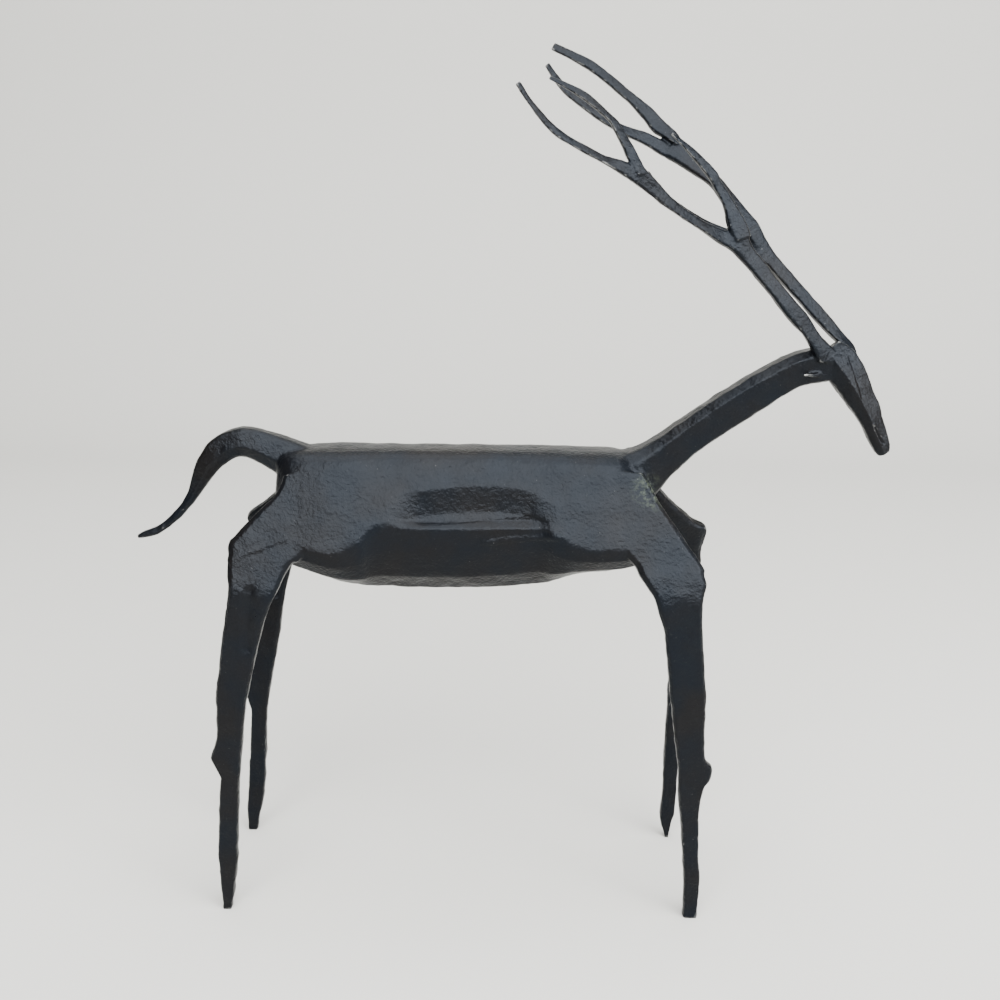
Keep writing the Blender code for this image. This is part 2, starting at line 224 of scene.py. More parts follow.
RIGHT_TINE_3 = (
    (88.1, -8.0, 288.3, 95.5, -8.0, 290.7, 6.0),
    (86.0, -7.5, 292.1, 93.2, -7.5, 296.1, 5.8),
    (84.8, -7.0, 296.0, 90.7, -7.0, 299.9, 5.6),
    (84.1, -6.4, 299.8, 88.2, -6.4, 303.7, 5.4),
    (82.4, -5.8, 304.0, 85.7, -5.8, 307.4, 5.2),
    (79.8, -5.2, 308.1, 82.8, -5.2, 311.2, 5.0),
    (76.7, -5.7, 312.8, 80.2, -5.7, 315.6, 4.4),
    (69.0, -4.9, 321.7, 71.1, -4.9, 323.9, 3.8),
    (61.7, -4.7, 328.7, 62.6, -4.7, 329.7, 2.4),
)
LEFT_STEM = (
    (140.5, 4.5, 241.8, 146.2, 4.5, 241.0, 8.5),
    (138.2, 6.2, 245.3, 144.4, 6.2, 245.8, 7.8),
    (133.4, 7.1, 249.7, 139.1, 7.1, 251.4, 7.0),
    (128.6, 7.6, 254.1, 133.7, 7.6, 257.5, 6.9),
    (123.2, 7.7, 259.4, 127.8, 7.7, 263.6, 6.8),
    (118.2, 7.7, 264.7, 122.4, 7.7, 269.1, 6.7),
    (113.3, 7.8, 269.5, 117.5, 7.8, 274.3, 6.6),
    (108.4, 7.8, 274.4, 112.6, 7.8, 279.3, 6.5),
    (103.5, 7.9, 279.6, 108.3, 7.9, 284.1, 6.4),
    (99.0, 7.9, 285.5, 105.1, 7.9, 288.4, 6.3),
    (95.0, 8.0, 291.1, 101.4, 8.0, 294.8, 6.2),
)
LEFT_BRANCH = (
    (97.2, 8.0, 287.9, 104.0, 8.0, 290.4, 6.2),
    (95.2, 9.0, 291.0, 101.0, 9.0, 295.5, 6.0),
    (90.9, 10.1, 296.5, 97.2, 10.1, 299.8, 5.9),
    (86.8, 12.0, 302.0, 93.2, 12.0, 304.5, 5.8),
    (83.7, 14.5, 306.7, 88.8, 14.5, 309.7, 5.6),
    (79.7, 16.8, 310.6, 84.0, 16.8, 315.0, 5.5),
    (74.0, 18.2, 314.1, 78.5, 18.2, 320.4, 5.3),
    (68.2, 19.6, 317.5, 73.6, 19.6, 324.7, 5.2),
    (62.0, 21.0, 320.8, 69.0, 21.0, 328.6, 5.0),
)
LEFT_TINE_1 = (
    (66.5, 20.8, 325.4, 71.0, 20.8, 325.8, 4.6),
    (61.8, 21.9, 328.2, 67.4, 21.9, 331.0, 4.9),
    (57.5, 22.9, 330.7, 62.4, 22.9, 335.3, 4.7),
    (53.5, 24.0, 335.6, 57.8, 24.0, 339.8, 4.6),
    (45.9, 25.3, 343.2, 48.8, 25.3, 346.6, 4.4),
    (31.0, 27.3, 354.4, 33.1, 27.3, 358.0, 4.0),
    (15.3, 27.3, 362.1, 16.8, 27.3, 365.1, 3.2),
)
LEFT_TINE_2 = (
    (65.9, 21.0, 318.7, 68.5, 21.0, 324.3, 5.0),
    (61.1, 20.5, 321.2, 63.7, 20.5, 326.6, 4.9),
    (56.8, 20.0, 323.7, 58.6, 20.0, 328.9, 4.8),
    (52.6, 19.6, 325.8, 54.4, 19.6, 330.6, 4.8),
    (47.9, 19.1, 327.9, 49.4, 19.1, 331.9, 4.7),
    (43.3, 18.6, 329.8, 44.8, 18.6, 333.5, 4.6),
    (34.4, 16.8, 334.8, 36.3, 16.8, 338.2, 4.4),
    (22.2, 14.8, 343.0, 24.5, 14.8, 346.0, 4.0),
    (16.3, 14.3, 349.2, 18.6, 14.3, 351.2, 3.6),
    (12.6, 14.3, 354.9, 14.3, 14.3, 356.3, 2.8),
)

# Bars as stations: x, y, z of the middle, width in the side view and thickness. They are drawn
# about their own middle plane and moved by BARS_MOVED.
BARS_MOVED = (0.85, -0.65, 0.0)
TAIL = (
    (-80.0, 0.0, 190.0, 19.0, 20.0), (-89.5, 0.0, 194.2, 17.4, 17.0), (-101.0, 0.0, 199.9, 14.2, 14.0),
    (-111.0, 0.0, 202.8, 12.8, 12.5), (-119.6, 0.0, 200.6, 12.0, 11.5), (-126.6, 0.0, 193.8, 10.4, 10.0),
    (-130.7, 0.0, 187.0, 8.0, 8.5), (-135.2, 0.0, 178.6, 4.8, 6.5), (-142.4, 0.0, 169.8, 4.2, 5.5),
    (-150.6, 0.0, 163.6, 3.8, 4.8), (-159.4, 0.0, 160.4, 2.0, 3.6),
)
NECK = (
    (44.0, 0.0, 185.0, 29.0, 28.0), (56.5, 0.0, 193.0, 21.0, 21.0), (65.3, 0.0, 200.4, 16.2, 17.0),
    (77.3, 0.0, 210.0, 14.6, 15.0), (90.3, 0.0, 219.4, 15.0, 14.5), (105.2, 0.0, 229.3, 14.3, 14.0),
    (118.0, 0.0, 236.7, 13.8, 14.0), (127.0, 0.0, 238.8, 13.8, 14.0), (135.0, 0.0, 239.2, 12.4, 13.0),
)
HEAD = (
    (130.5, 0.0, 245.6, 10.5, 11.0), (135.4, -0.5, 239.8, 15.6, 15.0), (142.2, -2.0, 230.0, 13.6, 14.5),
    (148.7, -4.0, 218.8, 10.2, 12.0), (153.8, -6.0, 207.2, 7.8, 8.4), (155.7, -6.4, 203.0, 5.0, 6.0),
)
RIGHT_EAR = ((128.0, -4.0, 235.6, 2.8, 3.5), (123.0, -7.6, 235.6, 1.7, 1.7), (119.2, -9.0, 235.8, 0.8, 0.8))
LEFT_EAR = ((137.0, 4.0, 240.6, 5.0, 5.0), (141.4, 7.2, 240.4, 3.6, 2.8), (144.4, 8.6, 240.4, 2.4, 1.8))
LEFT_TINE_3 = (
    (106.0, 8.0, 280.4, 6.4, 5.8), (92.4, 6.8, 287.9, 6.0, 5.6), (76.4, 5.4, 294.8, 4.4, 4.8),
    (61.4, 5.0, 304.8, 3.2, 3.8), (53.6, 5.0, 315.0, 1.5, 2.4),
)

# Where limbs flow into each other: middle, reach and rounds of easing.
EASED_JOINTS = (
    ((-90.0, -0.7, 193.0), 13.0, 22),
    ((55.0, -0.7, 197.0), 19.0, 45),
    ((132.0, -0.7, 240.0), 7.0, 8),
    ((95.0, -8.5, 283.0), 8.0, 14),
    ((105.0, 8.0, 284.0), 8.0, 16),
)
# Grooves cut into one side: x and z of both ends, side, half width and depth.
GROOVES = (
    ((151.0, 214.5), (155.2, 208.0), -1, 0.8, 1.0),
    ((139.3, 243.0), (145.0, 227.5), -1, 1.0, 0.35),
    ((-104.0, 148.0), (-106.5, 124.0), -1, 3.5, 0.9),
    ((-9.0, 167.0), (22.0, 170.5), -1, 2.2, -0.6),
    ((-9.0, 167.0), (22.0, 170.5), 1, 1.6, -0.7),
    ((-113.2, 160.0), (-90.0, 168.5), -1, 1.6, -0.25),
    ((-113.2, 158.0), (-92.0, 165.0), 1, 1.3, -0.4),
    ((50.8, 202.0), (61.0, 185.6), -1, 1.6, -0.35),
    ((50.8, 202.0), (61.0, 185.6), 1, 1.6, -0.35),
)

# The lozenge hammered into each flank. A pair is where a ramp starts and how far it reaches.
RECESS_DEPTH = 3.2
RECESS_UPPER_Z = 189.5
RECESS_MIDDLE_X = -4.0
RECESS_ARCH = 0.004
RECESS_ARCH_SHARES = (3.0, 0.6)
RECESS_SLOPE = 9.0
RECESS_REAR = (-48.0, 14.0)
RECESS_FRONT = (21.0, -11.0)
RECESS_LOWER = (173.0, 3.0)
# Where the body's relief ends, and where the antlers' begins, as such pairs.
BODY_REAR = (-112.0, 12.0)
BODY_FRONT = (76.0, -12.0)
BODY_BELOW = (146.0, 10.0)
BODY_ABOVE = (212.0, -8.0)
ANTLERS_FROM = (236.0, 20.0)
# Hammer dishes: their size and seed, and their depth.
BODY_DISHES = (12.0, 5)
BODY_DISH_DEPTH = 0.26
LIMB_DISHES = (7.0, 8)
LIMB_DISH_DEPTH = 0.34
LESS_ON_ANTLERS = 0.16
# Waves: size, seed, depth, how much less on the antlers, and the share lost on the body.
WAVES = ((7.0, 3, 0.28, 0.16, 0.5), (3.0, 4, 0.14, 0.06, 0.6), (1.5, 6, 0.06, 0.0, 0.0))

# Sizes of the stage, in metres: the cove, and the panels as name, place, size and watts.
COVE_RADIUS = 0.5
COVE_START = 0.8
COVE_TOP = 2.5
FLOOR_HALF = 4.0
PANELS = (
    ("front_panel", (0.25, -1.35, 1.2), (2.8, 1.4), 150.0),
    ("top_panel", (0.0, -0.1, 1.7), (1.7, 1.7), 66.0),
    ("side_panel", (1.5, -0.7, 0.95), (1.2, 1.2), 42.0),
)
PANEL_COLOUR = (0.98, 0.99, 1.0)
PANEL_AIM = (0.0, 0.0, 0.15)
WORLD_COLOUR = (0.80, 0.80, 0.79, 1.0)
WORLD_STRENGTH = 0.12


# ----------------------------------------------------------------------------------------------
# Surfaces


def smooth_rows(stations, steps):
    """Rows on a Catmull-Rom curve through the stations: each stretch is a cubic whose slope at a
    station is half the difference between the stations on either side of it."""
    rows = np.asarray(stations, float)
    padded = np.vstack([rows[:1], rows, rows[-1:]])
    share = np.linspace(0.0, 1.0, steps, endpoint=False)[None, :, None]
    before, start, end, after = (padded[i:i + len(rows) - 1, None, :] for i in range(4))
    curve = 0.5 * (
        2.0 * start
        + (end - before) * share
        + (2.0 * before - 5.0 * start + 4.0 * end - after) * share**2
        + (3.0 * start - before - 3.0 * end + after) * share**3
    )
    return np.vstack([curve.reshape(-1, rows.shape[1]), rows[-1:]])


def unit(vectors):
    return vectors / np.linalg.norm(vectors, axis=-1, keepdims=True)


def tube_faces(rings, sides):
    """Quads between each ring of a tube and the next, and a fan to a pole at each end. The poles
    are the two points that follow the rings."""
    ring, side = np.meshgrid(np.arange(rings - 1), np.arange(sides), indexing="ij")
    beside = (side + 1) % sides
    here, onward = ring * sides, (ring + 1) * sides
    quads = np.stack([here + side, here + beside, onward + beside, onward + side], -1).reshape(-1, 4)
    around = np.arange(sides)
    after = (around + 1) % sides
    last = (rings - 1) * sides
    start_pole = np.full(sides, rings * sides)
    start_fan = np.stack([start_pole, after, around, around], -1)
    end_fan = np.stack([start_pole + 1, last + around, last + after, last + after], -1)
    return np.vstack([quads, start_fan, end_fan])


def closed_tube(rings):
    """Points and faces of a closed tube from an array of rings, rings by sides by 3."""
    count, sides, _ = rings.shape
    poles = np.stack([rings[0].mean(0), rings[-1].mean(0)])
    return np.vstack([rings.reshape(-1, 3), poles]), tube_faces(count, sides)


def walked(section, sides):
    """Points at an even pace round a section's sides, equally many on each side."""
    corners = np.array(section, float)
    per_side = sides // len(corners)
    share = np.arange(per_side)[None, :, None] / per_side
    nexts = np.roll(corners, -1, axis=0)
    return (corners[:, None, :] * (1.0 - share) + nexts[:, None, :] * share).reshape(-1, 2)


def ribbed(rows, section, steps, sides=48):
    """A bar carried along its ribs: middle + across * u * width / 2 + through * v * thickness / 2,
    where across runs from a rib's first edge to its second and through is square to it and to
    the path of the middles, on the side of the stag's left."""
    rows = smooth_rows(rows, steps)
    first, second = rows[:, :3], rows[:, 3:6]
    centres = (first + second) / 2.0
    half_across = (second - first) / 2.0
    along = unit(np.gradient(centres, axis=0))
    through = unit(np.cross(half_across, along))
    turn = np.sign(through[:, 1].mean())
    through = through * turn * rows[:, 6:7] / 2.0
    outline = walked(section, sides)[::int(turn)]
    return closed_tube(
        centres[:, None, :]
        + half_across[:, None, :] * outline[None, :, :1]
        + through[:, None, :] * outline[None, :, 1:]
    )


def barrel(steps, sides):
    """The body: half a section of straight runs and a round back, mirrored in the middle plane.
    Its heights are shares from crease to back or belly, its x goes from the back's to the
    crease's as the height falls."""
    rows = smooth_rows(BARREL, steps)
    half = np.array(HALF_SECTION)
    run = np.concatenate([[0.0], np.cumsum(np.hypot(np.diff(half[:, 0]), np.diff(half[:, 1])))])
    paces = np.linspace(0.0, run[-1], sides // 2)
    wide, high = np.interp(paces, run, half[:, 0]), np.interp(paces, run, half[:, 1])
    wide = np.concatenate([wide, -wide[-2:0:-1]])[None, :]
    high = np.concatenate([high, high[-2:0:-1]])[None, :]
    back_x, crease_x, top, crease, belly, half_width = (rows[:, i:i + 1] for i in range(6))
    z = np.where(high > 0.0, crease + high * (top - crease), crease + high * (crease - belly))
    x = crease_x + (back_x - crease_x) * np.clip(high, 0.0, 1.0)
    y = MIDDLE_Y + half_width * wide
    return closed_tube(np.stack([x, y, z], -1))


def bar_ribs(stations, turn=1.0):
    """Ribs of a bar: the middle less and plus half the width, along the direction square to the
    path in the side view. Turn is -1 where that would put an antler's upper edge first."""
    rows = np.array(stations)
    centres = rows[:, :3] + BARS_MOVED
    across = unit(np.cross(np.gradient(centres, axis=0), (0.0, 1.0, 0.0)))
    half = turn * across * rows[:, 3:4] / 2.0
    return np.hstack([centres - half, centres + half, rows[:, 4:5]])


def stag_shells():
    """Every closed shell that the stag is forged from, as (points, faces)."""
    straps = (RIGHT_HIND_LEG, RIGHT_FRONT_LEG, LEFT_HIND_LEG, LEFT_FRONT_LEG)
    plates = (
        RIGHT_STEM, RIGHT_BRANCH, RIGHT_TINE_1, RIGHT_TINE_2, RIGHT_TINE_3,
        LEFT_STEM, LEFT_BRANCH, LEFT_TINE_1, LEFT_TINE_2,
        bar_ribs(LEFT_TINE_3, -1.0),
    )
    shells = [barrel(10, 128)]
    shells += [ribbed(rows, STRAP, 6) for rows in straps]
    shells += [ribbed(rows, PLATE, 8) for rows in plates]
    shells += [ribbed(bar_ribs(ear), STRAP, 8) for ear in (RIGHT_EAR, LEFT_EAR)]
    shells += [
        ribbed(bar_ribs(TAIL), TAIL_BAR, 8, 60),
        ribbed(bar_ribs(NECK), NECK_BAR, 8),
        ribbed(bar_ribs(HEAD), WEDGE, 10),
    ]
    return shells


def joined(shells):
    """All the shells' points, and their faces counted on from one shell to the next."""
    starts = np.cumsum([0] + [len(points) for points, _ in shells[:-1]])
    points = np.vstack([points for points, _ in shells])
    faces = np.vstack([faces + start for (_, faces), start in zip(shells, starts)])
    return points, faces


# ----------------------------------------------------------------------------------------------
# Meshes


def mesh_from(name, points, faces):
    """A mesh of quads, where a face that repeats its last point is a triangle."""
    triangle = faces[:, 2] == faces[:, 3]
    mesh = bpy.data.meshes.new(name)
    loops = np.where(triangle, 3, 4)
    keep = np.ones(faces.shape, bool)
    keep[triangle, 3] = False
    mesh.vertices.add(len(points))
    mesh.vertices.foreach_set("co", np.ascontiguousarray(points, np.float32).ravel())
    mesh.loops.add(int(loops.sum()))
    mesh.loops.foreach_set("vertex_index", faces[keep].astype(np.int32))
    mesh.polygons.add(len(faces))
    mesh.polygons.foreach_set("loop_start", np.concatenate([[0], np.cumsum(loops)[:-1]]).astype(np.int32))
    mesh.update(calc_edges=True)
    mesh.validate()
    return mesh


def linked(name, mesh):
    obj = bpy.data.objects.new(name, mesh)
    bpy.context.scene.collection.objects.link(obj)
    return obj


def with_modifier(mesh, kind, **settings):
    """The mesh after one modifier, as a new mesh."""
    helper = linked("helper", mesh)
    modifier = helper.modifiers.new(kind, kind)
    for name, value in settings.items():
        setattr(modifier, name, value)
    graph = bpy.context.evaluated_depsgraph_get()
    made = bpy.data.meshes.new_from_object(helper.evaluated_get(graph))
    bpy.data.objects.remove(helper)
    bpy.data.meshes.remove(mesh)
    return made


def points_of(mesh):
    points = np.empty(len(mesh.vertices) * 3, np.float32)
    mesh.vertices.foreach_get("co", points)
    return points.reshape(-1, 3).astype(float)


def normals_of(mesh):
    normals = np.empty(len(mesh.vertices) * 3, np.float32)
    mesh.vertex_normals.foreach_get("vector", normals)
    return normals.reshape(-1, 3).astype(float)


def edges_of(mesh):
    edges = np.empty(len(mesh.edges) * 2, np.int32)
    mesh.edges.foreach_get("vertices", edges)
    return edges.reshape(-1, 2)


def put_points(mesh, points):
    mesh.vertices.foreach_set("co", np.ascontiguousarray(points, np.float32).ravel())
    mesh.update()


def neighbour_mean(values, edges, counts):
    """For each point, the mean of the values at the points that share an edge with it."""
    a, b = edges[:, 0], edges[:, 1]
    sums = [
        np.bincount(a, values[b, i], len(values)) + np.bincount(b, values[a, i], len(values))
        for i in range(values.shape[1])
    ]
    return np.stack(sums, -1) / counts[:, None]


def eased(points, edges, weight, rounds, pull=0.5):
    """Each round moves a point towards the mean of its neighbours, by its weight times pull."""
    counts = np.bincount(edges.ravel(), minlength=len(points)).clip(1)
    for _ in range(rounds):
        points = points + pull * weight[:, None] * (neighbour_mean(points, edges, counts) - points)
    return points


def kept_size_eased(points, edges, rounds):
    """Taubin's easing: a step in by 0.5 and a step out by 0.53, which keeps the size."""
    weight = np.ones(len(points))
    for _ in range(rounds):
        points = eased(points, edges, weight, 1, 0.5)
        points = eased(points, edges, weight, 1, -0.53)
    return points


def eased_joints(points, edges):
    for centre, reach, rounds in EASED_JOINTS:
        away = np.linalg.norm(points - np.array(centre) * MM, axis=1) / (reach * MM)
        weight = np.clip(1.5 * (1.0 - away), 0.0, 1.0)
        near = weight > 0.0
        chosen = edges[near[edges].any(1)]
        used, index = np.unique(chosen, return_inverse=True)
        part = eased(points[used], index.reshape(-1, 2), weight[used], rounds)
        points = points.copy()
        points[used] = part
    return points


def lattice_noise(points, size, seed):
    """Smooth noise from -1 to 1: seeded values at the corners of cubes, blended by the cubic
    3 t^2 - 2 t^3 of the place in the cube."""
    table = np.random.default_rng(seed).uniform(-1.0, 1.0, (64, 64, 64))
    place = points / size + 1000.0
    cell = np.floor(place).astype(int)
    share = place - cell
    share = share * share * (3.0 - 2.0 * share)
    total = np.zeros(len(points))
    for corner in np.ndindex(2, 2, 2):
        weight = np.where(corner, share, 1.0 - share).prod(1)
        total += weight * table[tuple(((cell + corner) % 64).T)]
    return total


def hammer_dishes(points, size, seed):
    """Dishes of a hammer's face: one minus the squared distance to the nearest of the seeded
    centres, one to each cube of this size, with the distance as a share of the size."""
    table = np.random.default_rng(seed).uniform(0.0, 1.0, (32, 32, 32, 3))
    place = points / size + 640.0
    cell = np.floor(place).astype(int)
    nearest = np.full(len(points), 9.0)
    for step in np.ndindex(3, 3, 3):
        other = cell + step - 1
        centre = other + table[tuple((other % 32).T)]
        nearest = np.minimum(nearest, ((centre - place) ** 2).sum(1))
    return 1.0 - np.minimum(nearest, 1.0)


def grooved(points, normals):
    """Depth of the grooves: their depth times (1 - (d / half width)^2)^2, d from the line."""
    depth = np.zeros(len(points))
    for start, end, side, half_width, deepest in GROOVES:
        start, run = np.array(start), np.subtract(end, start)
        away = points[:, [0, 2]] - start
        share = np.clip(away @ run / (run @ run), 0.0, 1.0)
        distance = np.linalg.norm(away - share[:, None] * run, axis=1) / half_width
        facing = np.clip(normals[:, 1] * side * 3.0, 0.0, 1.0)
        depth += deepest * np.clip(1.0 - distance**2, 0.0, 1.0) ** 2 * facing
    return depth


def ramped(values, start, reach):
    """Zero at start, one at start + reach, straight between. A negative reach runs downwards."""
    return np.clip((values - start) / reach, 0.0, 1.0)


def flank_recess(points, normals):
    """The hammered lozenge in each flank: its depth grows evenly from its arched upper edge to
    the crease and dies off at both ends."""
    x, z = points[:, 0], points[:, 2]
    arch = RECESS_ARCH * (x - RECESS_MIDDLE_X) ** 2 * np.where(x > RECESS_MIDDLE_X, *RECESS_ARCH_SHARES)
    depth = np.clip((RECESS_UPPER_Z - arch - z) / RECESS_SLOPE, 0.0, 1.0)
    ends = ramped(x, *RECESS_REAR) * ramped(x, *RECESS_FRONT)
    below = ramped(z, *RECESS_LOWER)
    return RECESS_DEPTH * depth * ends * below * np.clip(np.abs(normals[:, 1]) * 2.0, 0.0, 1.0)


def forging(points, normals):
    """How far the surface sinks at each point, in millimetres: dishes, waves and cuts."""
    x, z = points[:, 0], points[:, 2]
    body = ramped(x, *BODY_REAR) * ramped(x, *BODY_FRONT)
    body = body * ramped(z, *BODY_BELOW) * ramped(z, *BODY_ABOVE)
    thin = ramped(z, *ANTLERS_FROM)
    sinking = body * BODY_DISH_DEPTH * hammer_dishes(points, *BODY_DISHES)
    sinking += (1.0 - body) * (LIMB_DISH_DEPTH - LESS_ON_ANTLERS * thin) * hammer_dishes(points, *LIMB_DISHES)
    for size, seed, depth, less_thin, less_body in WAVES:
        sinking += (depth - less_thin * thin) * (1.0 - less_body * body) * lattice_noise(points, size, seed)
    return sinking + grooved(points, normals) + flank_recess(points, normals)


def forged_skin(voxel, most_triangles):
    """The stag's whole skin: the shells made one by a voxel remesh, eased, then sunk along the
    normals by the forging."""
    points, faces = joined(stag_shells())
    mesh = mesh_from("shells", points * MM, faces)
    mesh = with_modifier(mesh, "REMESH", mode="VOXEL", voxel_size=voxel)
    edges = edges_of(mesh)
    points = kept_size_eased(points_of(mesh), edges, 1)
    put_points(mesh, eased_joints(points, edges))
    points, normals = points_of(mesh), normals_of(mesh)
    above_sole = np.clip(points[:, 2] / (3.0 * MM), 0.0, 1.0)
    points = points - normals * (forging(points / MM, normals) * above_sole * MM)[:, None]
    points[:, 2] = np.where(points[:, 2] < 0.35 * MM, 0.0, points[:, 2])
    put_points(mesh, points)
    triangles = 2 * len(mesh.polygons)
    return with_modifier(mesh, "DECIMATE", ratio=min(1.0, most_triangles / triangles))


# ----------------------------------------------------------------------------------------------
# Materials


class Value:
    """A socket that carries numbers. Python's operators on it add Math nodes."""

    def __init__(self, tree, socket):
        self.tree = tree
        self.socket = socket

    def math(self, operation, *others):
        node = self.tree.nodes.new("ShaderNodeMath")
        node.operation = operation
        for slot, value in zip(node.inputs, (self, *others)):
            put(self.tree, slot, value)
        return Value(self.tree, node.outputs[0])

    def __add__(self, other):
        return self.math("ADD", other)

    def __mul__(self, other):
        return self.math("MULTIPLY", other)

    def __sub__(self, other):
        return self.math("SUBTRACT", other)

    def __rsub__(self, other):
        return (self * -1.0) + other

    def __truediv__(self, other):
        return self.math("DIVIDE", other)

    __radd__ = __add__
    __rmul__ = __mul__

    def clamped(self):
        return self.math("MAXIMUM", 0.0).math("MINIMUM", 1.0)

    def ramp(self, low, high):
        """Zero below low, one above high, and straight between."""
        return ((self - low) / (high - low)).clamped()


def put(tree, slot, value):
    if isinstance(value, Value):
        tree.links.new(value.socket, slot)
    elif value is not None:
        slot.default_value = value


class Shader:
    """A material's tree. node() adds any node from its type, settings and inputs."""

    def __init__(self, name):
        self.material = bpy.data.materials.new(name)
        self.material.use_nodes = True
        self.tree = self.material.node_tree
        self.surface = self.tree.nodes["Principled BSDF"]
        self.place = self.node("ShaderNodeTexCoord", output="Object")

    def node(self, kind, settings=None, inputs=None, output=0):
        made = self.tree.nodes.new(kind)
        for name, value in (settings or {}).items():
            setattr(made, name, value)
        for name, value in (inputs or {}).items():
            put(self.tree, made.inputs[name], value)
        return Value(self.tree, made.outputs[output])

    def noise(self, scale, detail=4.0, roughness=0.55, distortion=0.0, place=None):
        return self.node(
            "ShaderNodeTexNoise",
            inputs={
                "Vector": place or self.place,
                "Scale": scale,
                "Detail": detail,
                "Roughness": roughness,
                "Distortion": distortion,
            },
        )

    def attribute(self, name):
        return self.node("ShaderNodeAttribute", {"attribute_name": name}, output="Fac")

    def mix(self, share, first, second):
        """A colour between two, by share."""
        return self.node(
            "ShaderNodeMix",
            {"data_type": "RGBA"},
            {0: share, 6: first, 7: second},
            output=2,
        )

    def bump(self, height, distance, strength=1.0, under=None):
        inputs = {"Height": height, "Distance": distance, "Strength": strength}
        if under is not None:
            inputs["Normal"] = under
        return self.node("ShaderNodeBump", inputs=inputs)

    def finish(self, **inputs):
        for name, value in inputs.items():
            put(self.tree, self.surface.inputs[name.replace("_", " ")], value)
        return self.material


def rgb(colour):
    return (*colour[:3], 1.0)


def forged_iron(sizes):
    """Black forge scale under wax: a blue-black and a brown-black in broad clouds, pebbly scale
    in the bump, and on the arrises rubbed metal with a painted edge highlight."""
    iron = Shader("forged_iron")
    clouds = iron.noise(38.0, 3.0).ramp(0.38, 0.64)
    grain = iron.noise(900.0, 3.0, 0.6)
    pebbles = iron.noise(700.0, 2.0, 0.5, 0.3)
    # Lighter on the arrises: partly rubbed metal, partly a painted edge highlight.
    arris_wear_and_highlight = iron.attribute("arris_wear_and_highlight")
    rub_and_highlight = (arris_wear_and_highlight * (0.5 + iron.noise(260.0, 4.0, 0.7))).ramp(0.45, 0.85)
    black = iron.mix(clouds, rgb(sizes.scale_blue), rgb(sizes.scale_brown))
    specks = iron.noise(1300.0, 2.0, 0.6).ramp(0.74, 0.80) * 0.6
    rub_and_highlight = rub_and_highlight.math("MAXIMUM", specks)
    from_joint = iron.node(
        "ShaderNodeVectorMath", {"operation": "DISTANCE"},
        {0: iron.place, 1: sizes.bloom_place}, output="Value",
    )
    bloom = (1.0 - from_joint / sizes.bloom_reach).clamped() * iron.noise(500.0, 4.0, 0.7).ramp(0.45, 0.65)
    # The arrises take the lighter colour: rubbed iron with a painted edge highlight.
    colour = iron.mix(bloom, iron.mix(rub_and_highlight, black, rgb(sizes.rubbed_and_highlit_colour)), rgb(sizes.bloom))
    iron.surface.inputs["Specular Tint"].default_value = rgb(sizes.sheen_tint)
    coarse = iron.bump(pebbles, 0.0005, 0.6)
    fine = iron.bump(grain, 0.0003, 0.4, coarse)
    return iron.finish(
        Base_Color=colour,
        Metallic=rub_and_highlight * 0.5,
        Specular_IOR_Level=sizes.sheen,
        Roughness=(iron.noise(150.0, 4.0, 0.6) * 0.25 + (sizes.roughness - 0.12)) - rub_and_highlight * 0.08,
        Normal=fine,
    )


def pale_floor(sizes):
    floor = Shader("pale_floor")
    floor.surface.inputs["Base Color"].default_value = rgb(sizes.floor_colour)
    floor.surface.inputs["Roughness"].default_value = 0.9
    floor.surface.inputs["Specular IOR Level"].default_value = 0.1
    return floor.material


# ----------------------------------------------------------------------------------------------
# Settings


class StagSettings(bpy.types.PropertyGroup):
    voxel: FloatProperty(
        name="Skin detail", description="Side of the cells that the skin is made one in", default=0.0005,
        min=0.0004, subtype="DISTANCE", unit="LENGTH",
    )
    triangles: IntProperty(name="Triangles", description="Most triangles in the skin", default=190000)
    scale_blue: FloatVectorProperty(
        name="Blue-black scale", description="Forge scale in its bluer clouds",
        default=(0.0020, 0.0027, 0.0040),
        subtype="COLOR", min=0.0, max=1.0,
    )
    scale_brown: FloatVectorProperty(
        name="Brown-black scale", description="Forge scale in its browner clouds",
        default=(0.0036, 0.0031, 0.0030),
        subtype="COLOR", min=0.0, max=1.0,
    )
    # Colour of the arrises: rubbed iron, and a painted edge highlight.
    rubbed_and_highlit_colour: FloatVectorProperty(
        name="Rubbed iron and painted highlight", description="Iron rubbed bright on the arrises", default=(0.16, 0.16, 0.155),
        subtype="COLOR", min=0.0, max=1.0,
    )
    roughness: FloatProperty(name="Roughness", description="Mean roughness of the scale", default=0.33)
    sheen: FloatProperty(name="Sheen", description="How much the waxed scale reflects", default=0.12)
    sheen_tint: FloatVectorProperty(
        name="Sheen colour", description="Tint of what the waxed scale reflects", default=(0.80, 0.885, 1.0),
        subtype="COLOR", min=0.0, max=1.0,
    )
    bloom: FloatVectorProperty(
        name="Bloom", description="Greenish bloom where the neck meets the body",
        default=(0.055, 0.065, 0.045),
        subtype="COLOR", min=0.0, max=1.0,
    )
    bloom_place: FloatVectorProperty(
        name="Bloom place", description="Middle of the greenish bloom", default=(0.0595, -0.0165, 0.188),
        subtype="TRANSLATION", unit="LENGTH", precision=4,
    )
    bloom_reach: FloatProperty(
        name="Bloom reach", description="How far the bloom spreads", default=0.010,
        subtype="DISTANCE", unit="LENGTH",
    )


